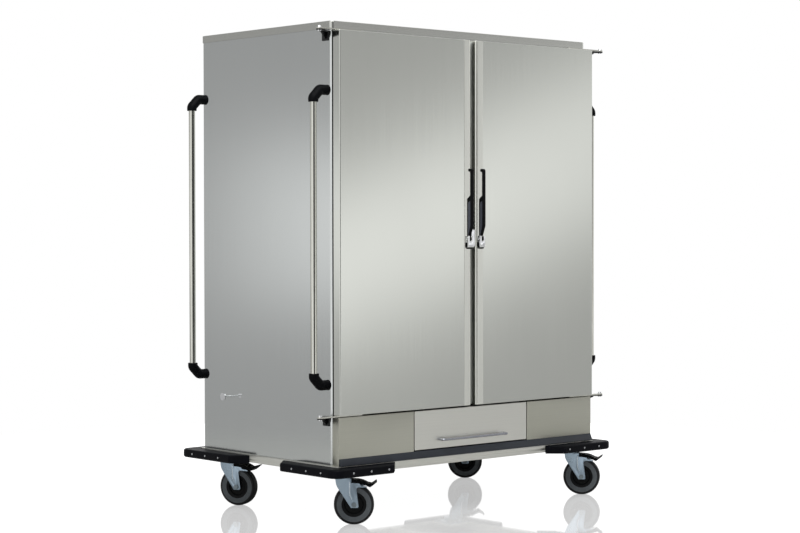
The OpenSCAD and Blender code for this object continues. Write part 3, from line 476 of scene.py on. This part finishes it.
fasciaSettings = {"finish": "fasciaStainless", "roundMm": 0.8}
stripSettings = {"finish": "slateEdge", "roundMm": 1.5}
frameSettings = {"finish": "drawerStainless", "roundMm": 1.5}
cabinetFinishes = {
    "back_panel": "panelStainless", "roof_panel": "linerStainless", "floor_panel": "linerStainless",
    "partition": "linerStainless", "drawer_tray": "linerStainless", "drawer_runners": "linerStainless",
    # the mullion strip's pale finish is painted light in the gap between the doors
    "mullion_strip": "stripAluminium", "latch_keeper": "brightChrome",
}
for name in sides:
    sidePanel(name, panelSettings)
    doorLeaf(name, doorSettings)
    softenedCopy("fascia_" + name, fasciaSettings)
    dress("gasket_" + name, "sealRubber")
    dress("rack_" + name, "polishedTube")
topCap(capSettings)
drawerFront(drawerSettings)
softenedCopy("edge_strip", stripSettings)
softenedCopy("chassis_frame", frameSettings)
for name, finish in cabinetFinishes.items():
    dress(name, finish)
print("cabinet made")


# Handles, hinges and latches

elbowSettings = {
    "radiusMm": 19, "outMm": 67, "bendMm": 30, "trimMm": 5, "collarMm": 16,
    "ballMm": 19.3,  # from the sides of the CAD elbows' box to an elbow's middle
    "foot": [(0, 19.6), (3, 19.6), (4, 19)],  # distances off the panel, and radii there
    "pipe": (5, 3),  # where the plain pipe starts off the panel, and ends before the collar's end
    "mouth": [(1.6, 18.7), (0.6, 18), (0, 16.8)],  # distances before the collar's end, and radii
}


def pushElbows(look):
    # a foot flange on the panel, two half bends and a collar round the tube's end
    out, bend = look["outMm"], look["bendMm"]
    end = bend + look["collarMm"]
    foot, mouth = np.array(look["foot"]), np.array(look["mouth"])
    start, stop = look["pipe"]
    corners = [[start, 0, 0], [out - bend, 0, 0], [out, 0, bend], [out, 0, end - stop]]
    pipe = bentPath(corners, look["trimMm"])
    path = np.concatenate([foot[:, :1] * [1, 0, 0], pipe, [out, 0, end] - mouth[:, :1] * [0, 0, 1]])
    radii = np.concatenate([foot[:, 1], np.full(len(pipe), look["radiusMm"]), mouth[:, 1]])
    one = sweptRings(path, radii, (0, 1, 0)) * mm
    panelX = boxOf("side_panel_right")[1][0]
    ball = look["ballMm"] * mm
    low, high = boxOf("push_elbows")
    feet = [(y, z, up) for y in (low[1] + ball, high[1] - ball)
            for z, up in ((low[2] + ball, 1), (high[2] - ball, -1))]
    shells = [(one * [1, 1, up] + [panelX, y, z]) * [side, 1, 1] for side in (-1, 1) for y, z, up in feet]
    finishPiece(closedShape("moulded_elbows", shells), "blackNylon", "cabinet", ("push_elbows",))


leverSettings = {
    "pinOutMm": 10, "knuckleMm": 8, "knuckleDegrees": (180, 428), "knuckleSteps": 14, "clearMm": 1,
    "heelUpMm": 3, "footOutMm": 13, "footUpMm": 11, "taperUpMm": 51, "reachMm": 28, "barMm": 10,
    "webUpMm": 155, "slopeMm": 14, "tipMm": 9, "hookMm": 13, "hookRadiusMm": 6, "roundMm": 2,
    "insetProudMm": 0.5,
    "inset": [[7.5, 12], [10, 15], [20.5, 52], [20.5, 148], [7.5, 140]],  # outline of the painted-light side panel: out of the door, above the pin
}


def leverOutline(look, pin, top):
    # in depth out of the door and height: the knuckle, the tapered web, the bar and its curled tip
    reach, bar, tip, hook, hookR = inMetres(look, "reach", "bar", "tip", "hook", "hookRadius")
    out, knuckle, clear, heelUp = inMetres(look, "pinOut", "knuckle", "clear", "heelUp")
    footOut, footUp, taperUp = inMetres(look, "footOut", "footUp", "taperUp")
    webUp, slope = inMetres(look, "webUp", "slope")
    return np.concatenate([
        arc((out, pin), knuckle, *look["knuckleDegrees"], look["knuckleSteps"]),
        [[footOut, pin + footUp], [reach, pin + taperUp]],
        arc((reach - tip, top - tip), tip, 0, 90),
        arc((hook, top - hookR), hookR, 90, 270),
        [[reach - bar, top - 2 * hookR], [reach - bar, pin + webUp + slope],
         [clear, pin + webUp], [clear, pin + heelUp]],
    ])


def lever(name, look):
    # both outlines stand out of the door's face, and their edges are rounded to either side
    body = "lever_" + name
    low, high = boxOf(body)
    doorFace = boxOf("door_" + name)[0][1]
    pin = joints[body + "_pull"]["pos_m"][2]
    outward = [-1, 1]
    r, proud = inMetres(look, "round", "insetProud")
    grip = leverOutline(look, pin, high[2]) * outward + [doorFace, 0]
    gripRings = drawnRings(grip, roundedLevels(low[0], high[0], r), planes["x"])
    finishPiece(closedShape("grip_" + name, [gripRings]), "leverNylon", body, (body,))
    # slate panels on both sides of the lever are painted light, which makes its sides look lit
    inset = np.array(look["inset"]) * mm * outward + [doorFace, pin]
    litSideRings = drawnRings(inset, roundedLevels(low[0] - proud, high[0] + proud, proud), planes["x"])
    finishPiece(closedShape("web_panel_" + name, [litSideRings]), "leverInset", body)


padSettings = {"wideMm": 1.5, "belowMm": 5, "upMm": 20, "radiusMm": 11, "thickMm": 13, "sunkMm": 1,
               "roundMm": 1.5}


def latchPad(name, look):
    # a black slab behind the latch housing, reaching past its sides and below it, drawn as the dark rim
    # under it
    low, high = boxOf("latch_base_" + name)
    wide, below, up, corner = inMetres(look, "wide", "below", "up", "radius")
    thick, sunk, r = inMetres(look, "thick", "sunk", "round")
    outline = roundedOutline([low[0] - wide, low[2] - below], [high[0] + wide, low[2] + up],
                             [corner, corner, 0, 0])
    rings = drawnRings(outline, roundedLevels(high[1] - thick, high[1] + sunk, r), planes["y"])
    finishPiece(closedShape("latch_pad_" + name, [rings]), "blackNylon", "door_" + name)


# the hinge brackets are black as painted shade under the hinge arms
bracketSettings = {"finish": "blackPaint", "roundMm": 0.8}
armSettings = {"finish": "polishedTube", "roundMm": 0.8}
baseSettings = {"finish": "brightChrome", "roundMm": 1.5, "steps": 3}
pushElbows(elbowSettings)
dress("push_tubes", "polishedTube")
dress("stop_studs", "brightChrome")
dress("drawer_handle", "handleChrome")
softenedCopy("hinge_brackets", bracketSettings)
dress("hinge_pins", "brightChrome")
for name in sides:
    softenedCopy("hinge_arms_" + name, armSettings)
    softenedCopy("latch_base_" + name, baseSettings)
    latchPad(name, padSettings)
    lever(name, leverSettings)
print("handles, hinges and latches made")


# Bumpers and casters

bumperSettings = {"radiusMm": 45, "taperMm": 55, "tipMm": 2, "edgeMm": 8, "edgeMost": 0.4, "edgeSteps": 5,
                  "cornerSteps": 12}


def bumper(corner, look):
    # the outer line runs along one leg, round a quarter circle and along the other leg; the section
    # between it and the frame has edges rolled by e: e (1 - sin a) in, e (1 - cos a) from top or bottom
    low, high = boxOf("bumper_" + corner)
    flip = np.array([1 if high[0] > 0 else -1, 1 if high[1] > 0 else -1])
    frameCorner = boxOf("chassis_frame")[1][:2]
    reach = np.abs(np.array([low[:2], high[:2]])).max(0)
    tip = np.abs(np.array([low[:2], high[:2]])).min(0)
    r, taper, thin, roll = inMetres(look, "radius", "taper", "tip", "edge")
    firstLeg = [[tip[0], frameCorner[1] + thin], [tip[0] + taper, reach[1]], [frameCorner[0], reach[1]]]
    secondLeg = [[reach[0], frameCorner[1]], [reach[0], tip[1] + taper], [frameCorner[0] + thin, tip[1]]]
    outer = np.concatenate([firstLeg, arc(reach - r, r, 90, 0, look["cornerSteps"]), secondLeg])
    inner = np.minimum(outer, frameCorner)
    across = outer - inner
    width = np.linalg.norm(across, axis=1)
    edge = np.minimum(roll, look["edgeMost"] * width)
    a = np.radians(np.linspace(0, 90, look["edgeSteps"]))
    rollOut = 1 - (edge / width)[:, None] * (1 - np.sin(a))
    drop = edge[:, None] * (1 - np.cos(a))
    atFrame = np.zeros((len(outer), 1))
    share = np.concatenate([atFrame, rollOut, rollOut[:, ::-1], atFrame], 1)
    top, bottom = atFrame + high[2], atFrame + low[2]
    height = np.concatenate([top, top - drop, (bottom + drop)[:, ::-1], bottom], 1)
    plan = (inner[:, None] + share[..., None] * across[:, None]) * flip
    shell = np.concatenate([plan, height[..., None]], -1)
    finishPiece(closedShape("corner_" + corner, [shell]), "bumperRubber", "cabinet", ("bumper_" + corner,))


screwSettings = {
    "firstMm": 87, "stepMm": 86, "count": 3, "domeSides": 16,
    "dome": [(0, 1.8), (1.6, 1.6), (3, 1), (4, 0), (4, -4)],  # radii and heights in millimetres
    "boltAtMm": 40, "plateMm": 4, "headSides": 6,
    "head": [(0, -5), (6.2, -5), (7, -4.2), (7, 0), (0, 0)],
}


def fasteners(look):
    # domed screw heads in a row on each bumper leg, and hexagon heads under the caster plates
    low, high = boxOf("bumper_back_right")
    z = (low[2] + high[2]) / 2
    first, step, boltAt, plate = inMetres(look, "first", "step", "boltAt", "plate")
    dome, head = np.array(look["dome"]) * mm, np.array(look["head"]) * mm
    shells = []
    for sx, sy in quarters:
        for i in range(look["count"]):
            back = first + i * step
            onFront = (sx * (high[0] - back), sy * high[1], z)
            onSide = (sx * high[0], sy * (high[1] - back), z)
            shells.append(spunRings(dome, onFront, (0, sy, 0), look["domeSides"]))
            shells.append(spunRings(dome, onSide, (sx, 0, 0), look["domeSides"]))
    plateLow = boxOf("caster_plates")[1][2] - plate
    for corner in cornerNames:
        x, y = joints["swivel_" + corner + "_turn"]["pos_m"][:2]
        for dx, dy in quarters:
            at = (x + dx * boltAt, y + dy * boltAt, plateLow)
            shells.append(spunRings(head, at, (0, 0, 1), look["headSides"]))
    finishPiece(closedShape("fastener_heads", shells), "screwSteel", "cabinet", ("frame_screws",))


def wheelPlane(corner):
    # the axle's middle, and the directions level across the axle, up, and along it
    joint = joints["wheel_" + corner + "_spin"]
    axle = joint["axis"]
    return np.array(joint["pos_m"]), np.array([[axle[1], -axle[0], 0], [0, 0, 1], axle])


wheelSettings = {
    "radiusMm": 75, "hubMm": 46.5, "halfMm": 21, "shoulderMm": 9, "shoulderSteps": 8,
    "treadInMm": 2, "treadSideMm": 1, "ridgeMm": 1.3, "ridges": 4, "ridgeSteps": 33,
    "flankUnderMm": 0.5, "flankInMm": 0.2, "sides": 56, "sharpDegrees": 40,
    "hub": [(6, 23.5), (13, 23.5), (15, 14), (32, 13), (36, 17.5), (44, 18.5), (46.5, 19)],
}


def wheel(corner, look):
    # a grey tyre whose flanks fall by the ridge height times |cos|, which makes fine rings, a tread
    # with round shoulders painted nearly black as shade, and a dished hub, each a profile spun about the
    # axle
    spot, plane = wheelPlane(corner)
    rim, hubR, half, shoulder = inMetres(look, "radius", "hub", "half", "shoulder")
    treadIn, treadSide, ridge = inMetres(look, "treadIn", "treadSide", "ridge")
    flankUnder, flankIn = inMetres(look, "flankUnder", "flankIn")
    side = arc((rim - shoulder, half - shoulder), shoulder, 90, 0, look["shoulderSteps"])
    foot = np.array([[rim - shoulder - treadIn, half - treadSide]])
    radius = np.linspace(hubR, rim - shoulder + flankUnder, look["ridgeSteps"])
    wave = np.abs(np.cos(np.pi * look["ridges"] * (radius - hubR) / (radius[-1] - hubR)))
    flank = np.stack([radius, half - ridge * wave - flankIn], -1)
    parts = {
        "tyre": (flank, "tyreRubber", ("tyre_" + corner,)),
        "tread": (np.concatenate([foot, side]), "treadRubber", ()),
        "hub": (np.array(look["hub"]) * mm, "hubNylon", ("hub_" + corner,)),
    }
    for name, (profile, finish, replaced) in parts.items():
        loop = np.concatenate([profile, profile[::-1] * [1, -1], profile[:1]])
        rings = spunRings(loop, spot, plane[2], look["sides"])
        piece = closedShape("%s_ring_%s" % (name, corner), [rings], look["sharpDegrees"], capped=False)
        finishPiece(piece, finish, "wheel_" + corner, replaced)


ribSettings = {
    "line": [[-0.21, 1.17], [-0.21, 0.5], [-0.1, 0.24]],  # in wheel radii from the axle
    "trimMm": 8, "beadMm": 2.2, "outMm": 28, "endLength": 0.04, "endRadius": 0.4, "sides": 16,
}


def forkRibs(corner, look):
    # a rounded bead down the pressed ridge of each leg, bent towards the axle's eye at its foot
    spot, plane = wheelPlane(corner)
    trim, bead, out = inMetres(look, "trim", "bead", "out")
    corners = np.pad(np.array(look["line"]) * wheelSettings["radiusMm"] * mm, [(0, 0), (0, 1)])
    line = bentPath(corners, trim)
    line = np.concatenate([line[:1], line[:1] + (line[1:2] - line[:1]) * look["endLength"], line[1:]])
    radii = np.full(len(line), bead)
    radii[[0, -1]] *= look["endRadius"]
    shells = [sweptRings(spot + (line + [0, 0, side * out]) @ plane, radii, plane[2], look["sides"])
              for side in (-1, 1)]
    # the bead's paler zinc is a painted highlight along the pressed ridge
    finishPiece(closedShape("pressed_rib_" + corner, shells), "paleZinc", "swivel_" + corner)


cheekSettings = {
    "innerMm": 29.4, "outerMm": 31.8, "roundMm": 0.8, "coverMm": 2.4,
    # both lines are in wheel radii from the axle
    "top": [[-0.13, 1.25], [0.25, 1.23], [0.48, 1.175], [0.73, 1.055], [0.89, 1.02], [1.12, 1.17]],
    "under": [[1.15, 1.14], [0.92, 0.955], [0.8, 0.87], [0.68, 0.92], [0.54, 1], [0.28, 1.06], [0.02, 1.09],
              [-0.13, 1.09]],
}


def pedalCheeks(corner, look):
    # plates outside the fork's legs and a cover over them, all cut to the pedal arm's outline
    spot, plane = wheelPlane(corner)
    wheelR = wheelSettings["radiusMm"] * mm
    top, under = np.array(look["top"]) * wheelR, np.array(look["under"]) * wheelR
    inner, outer, r, thick = inMetres(look, "inner", "outer", "round", "cover")
    cheek = np.concatenate([top, under])
    cover = np.concatenate([top, top[::-1] - [0, thick]])
    shells = [drawnRings(outline, roundedLevels(low, high, r), plane, spot) for outline, low, high
              in ((cheek, -outer, -inner), (cheek, inner, outer), (cover, -outer, outer))]
    finishPiece(closedShape("pedal_cover_" + corner, shells), "blackNylon", "pedal_" + corner)


plateSettings = {"finish": "blueZinc", "roundMm": 0.8, "sharpDegrees": 40}
forkSettings = {"finish": "blueZinc", "roundMm": 0.8}
pedalSettings = {"finish": "blackNylon", "roundMm": 1.2}
fasteners(screwSettings)
softenedCopy("caster_plates", plateSettings)
for corner in cornerNames:
    bumper(corner, bumperSettings)
    softenedCopy("fork_" + corner, forkSettings)
    softenedCopy("pedal_" + corner, pedalSettings)
    forkRibs(corner, ribSettings)
    pedalCheeks(corner, cheekSettings)
    wheel(corner, wheelSettings)
    # the axle bolt's darker grey is painted shade
    dress("axle_" + corner, "boltSteel")
print("bumpers and casters made")


# Studio

floorSettings = {
    "radius": 3.2, "innerRadius": 0.001, "rings": 24, "spokes": 96,
    "colour": "#C4C4C2",  # in the light that it throws back and in the steel's reflections
    "shadowColour": "#959595", "glow": 1.2,  # to the camera: white, with a faint shadow
    "mirror": 0.6, "mirrorRough": 0.04, "fadeFrom": 1.25, "fadeTo": 2.15,
}


def floorDisc(look):
    # rings of radius r at angle a, flat at z = 0; its faint mirror fades out around the trolley
    radius = np.linspace(look["innerRadius"], look["radius"], look["rings"])[:, None]
    angle = np.linspace(0, 2 * np.pi, look["spokes"], endpoint=False)
    points = np.stack([radius * np.cos(angle), radius * np.sin(angle), 0 * radius * angle], -1)
    floor = closedShape("studioFloor", [points], capped=False)
    material, tree, place = newMaterial("paleStudioFloor")
    plain = addNode(tree, "ShaderNodeBsdfDiffuse", {"Color": linearColour(look["colour"])})
    faint = addNode(tree, "ShaderNodeBsdfDiffuse", {"Color": linearColour(look["shadowColour"])})
    glow = addNode(tree, "ShaderNodeEmission", {"Strength": look["glow"]})
    lit = addNode(tree, "ShaderNodeAddShader", None, {0: faint, 1: glow})
    mirror = addNode(tree, "ShaderNodeBsdfGlossy", {"Roughness": look["mirrorRough"]})
    away = addNode(tree, "ShaderNodeVectorMath", {"operation": "LENGTH"}, {0: place})
    fade = addNode(tree, "ShaderNodeMapRange",
                   {"From Min": look["fadeFrom"], "From Max": look["fadeTo"], "To Min": look["mirror"],
                    "To Max": 0.0}, {"Value": away.outputs["Value"]})
    shown = addNode(tree, "ShaderNodeMixShader", None, {0: fade, 1: lit, 2: mirror})
    seen = addNode(tree, "ShaderNodeLightPath").outputs["Is Camera Ray"]
    final = addNode(tree, "ShaderNodeMixShader", None, {0: seen, 1: plain, 2: shown})
    addNode(tree, "ShaderNodeOutputMaterial", None, {"Surface": final})
    floor.data.materials.append(material)
    bpy.context.scene.collection.objects.link(floor)


# azimuths run in degrees from +X towards +Y; bandTurn, from, to and tall are parts of a direction,
# along X or up
worldSettings = {
    "skyLevel": 0.45,
    "bandHalfDegrees": 2.35, "bandEdgeDegrees": 2.6, "bandTilt": 0.455, "bandRise": 0.0295,
    "bandTurn": (-0.3, 0.3),
    "leftBand": {"ease": "SMOOTHSTEP", "from": -0.632, "to": -0.568, "levels": (1.06, 0.45)},
    "rightBand": {"ease": "LINEAR", "from": 0.69, "to": 0.74, "levels": (1.18, 1.02)},
    "backdrop": {"azimuth": 20, "half": 46, "soft": 8, "level": 1.05},
    "strip": {"azimuth": 198, "half": 28, "soft": 5, "level": 1.05},
    "shade": {"azimuth": 250, "half": 24, "soft": 4, "level": 0.02, "tall": 0.085, "tallSoft": 0.05},
}


def worldWindow(tree, direction, span, look, level):
    # inside a stretch of the compass, and near the horizon where it has a height, the level turns
    # smoothly to the stretch's own; (X cos a + Y sin a) / span tells how near its middle is
    x, y, z = direction
    a = math.radians(look["azimuth"])
    edges = [math.cos(math.radians(look["half"] + soft)) for soft in (look["soft"], -look["soft"])]
    east = addNode(tree, "ShaderNodeMath", {"operation": "MULTIPLY", 1: math.cos(a)}, {0: x})
    towards = addNode(tree, "ShaderNodeMath", {"operation": "MULTIPLY_ADD", 1: math.sin(a)},
                      {0: y, 2: east})
    cosine = addNode(tree, "ShaderNodeMath", {"operation": "DIVIDE"}, {0: towards, 1: span})
    share = addNode(tree, "ShaderNodeMapRange", {"interpolation_type": "SMOOTHSTEP", "From Min": edges[0],
                                                 "From Max": edges[1]}, {"Value": cosine})
    if "tall" in look:
        rise = addNode(tree, "ShaderNodeMath", {"operation": "ABSOLUTE"}, {0: z})
        low = addNode(tree, "ShaderNodeMapRange",
                      {"interpolation_type": "SMOOTHSTEP", "From Min": look["tall"],
                       "From Max": look["tall"] + look["tallSoft"], "To Min": 1.0, "To Max": 0.0},
                      {"Value": rise})
        share = addNode(tree, "ShaderNodeMath", {"operation": "MULTIPLY"}, {0: share, 1: low})
    return addNode(tree, "ShaderNodeMix", {"data_type": "FLOAT", 3: look["level"]}, {0: share, 2: level})


def studioWorld(look):
    # white to the camera; elsewhere a grey room with a soft bright band along the horizon, a white
    # backdrop behind the cabinet, a tall light on its left and a low dark wall behind the camera
    world = bpy.data.worlds.new("studioWorld")
    bpy.context.scene.world = world
    world.use_nodes = True
    tree = world.node_tree
    tree.nodes.clear()
    place = addNode(tree, "ShaderNodeTexCoord").outputs["Generated"]
    direction = list(addNode(tree, "ShaderNodeSeparateXYZ", None, {0: place}).outputs)
    x, y, z = direction
    # the band's middle stands at max(X, 0) (tilt (X + Y) + rise), so it is level on the left
    right = addNode(tree, "ShaderNodeMath", {"operation": "MAXIMUM", 1: 0.0}, {0: x})
    diagonal = addNode(tree, "ShaderNodeMath", {"operation": "ADD"}, {0: x, 1: y})
    slope = addNode(tree, "ShaderNodeMath", {"operation": "MULTIPLY_ADD", 1: look["bandTilt"],
                                             2: look["bandRise"]}, {0: diagonal})
    middle = addNode(tree, "ShaderNodeMath", {"operation": "MULTIPLY"}, {0: slope, 1: right})
    above = addNode(tree, "ShaderNodeMath", {"operation": "SUBTRACT"}, {0: z, 1: middle})
    height = addNode(tree, "ShaderNodeMath", {"operation": "ABSOLUTE"}, {0: above})
    # the band's brightness turns from one value to another with X on either side, and the left one's
    # passes into the right one's at the middle
    peaks = []
    for band in (look["leftBand"], look["rightBand"]):
        peaks.append(addNode(tree, "ShaderNodeMapRange",
                             {"interpolation_type": band["ease"], "From Min": band["from"],
                              "From Max": band["to"], "To Min": band["levels"][0],
                              "To Max": band["levels"][1]}, {"Value": x}))
    peak = addNode(tree, "ShaderNodeMapRange",
                   {"From Min": look["bandTurn"][0], "From Max": look["bandTurn"][1]},
                   {"Value": x, "To Min": peaks[0], "To Max": peaks[1]})
    half, edge = look["bandHalfDegrees"], look["bandEdgeDegrees"]
    inner, outer = [math.sin(math.radians(turn)) for turn in (half - edge / 2, half + edge / 2)]
    shown = addNode(tree, "ShaderNodeMapRange",
                    {"interpolation_type": "SMOOTHSTEP", "From Min": inner, "From Max": outer,
                     "To Max": look["skyLevel"]}, {"Value": height, "To Min": peak})
    # the direction's level length is the root of 1 - Z squared, kept just above nothing
    square = addNode(tree, "ShaderNodeMath", {"operation": "MULTIPLY"}, {0: z, 1: z})
    rest = addNode(tree, "ShaderNodeMath", {"operation": "SUBTRACT", 0: 1.0001}, {1: square})
    span = addNode(tree, "ShaderNodeMath", {"operation": "SQRT"}, {0: rest})
    for stretch in ("backdrop", "strip", "shade"):
        shown = worldWindow(tree, direction, span, look[stretch], shown)
    room = addNode(tree, "ShaderNodeBackground", {"Color": (1, 1, 1, 1)}, {"Strength": shown})
    white = addNode(tree, "ShaderNodeBackground", {"Color": (1, 1, 1, 1), "Strength": 1.0})
    seen = addNode(tree, "ShaderNodeLightPath").outputs["Is Camera Ray"]
    final = addNode(tree, "ShaderNodeMixShader", None, {0: seen, 1: room, 2: white})
    addNode(tree, "ShaderNodeOutputWorld", None, {"Surface": final})


lampSettings = {"place": (-1.5, -2.0, 4.2), "target": (0, 0, 0.9), "size": 3.0, "watts": 120}


def softBox(look):
    # turned from straight down by the angle between that and its aim, towards the aim's azimuth
    lamp = bpy.data.lights.new("topSoftBox", "AREA")
    lamp.shape = "SQUARE"
    lamp.size = look["size"]
    lamp.energy = look["watts"]
    holder = bpy.data.objects.new("topSoftBox", lamp)
    bpy.context.scene.collection.objects.link(holder)
    holder.location = look["place"]
    aim = np.array(look["target"]) - np.array(look["place"])
    tilt = math.acos(-aim[2] / np.linalg.norm(aim))
    holder.rotation_euler = (tilt, 0, math.atan2(-aim[0], aim[1]))


cameraSettings = {
    "place": (-5.27405, -5.9706, 1.1179), "yaw": 41.47, "pitch": -1.245, "roll": -0.089,
    "lensMm": 88.4, "sensorMm": 36,
}


def photoCamera(look):
    data = bpy.data.cameras.new("photoCamera")
    data.lens = look["lensMm"]
    data.sensor_width = look["sensorMm"]
    camera = bpy.data.objects.new("photoCamera", data)
    bpy.context.scene.collection.objects.link(camera)
    turn = (Matrix.Rotation(math.radians(-look["yaw"]), 4, "Z")
            @ Matrix.Rotation(math.radians(90 + look["pitch"]), 4, "X")
            @ Matrix.Rotation(math.radians(look["roll"]), 4, "Z"))
    camera.matrix_world = Matrix.Translation(look["place"]) @ turn
    bpy.context.scene.camera = camera


# the satin steel in the photo hardly shows an image of these
unmirrored = ("push_tubes", "stop_studs", "moulded_elbows", "grip_", "web_panel_", "latch_pad_",
              "soft_latch_base_")
for piece in bpy.data.objects:
    if piece.name.startswith(unmirrored):
        piece.visible_glossy = False
floorDisc(floorSettings)
studioWorld(worldSettings)
softBox(lampSettings)
photoCamera(cameraSettings)
bpy.context.scene.view_settings.view_transform = "Standard"
print("studio set")
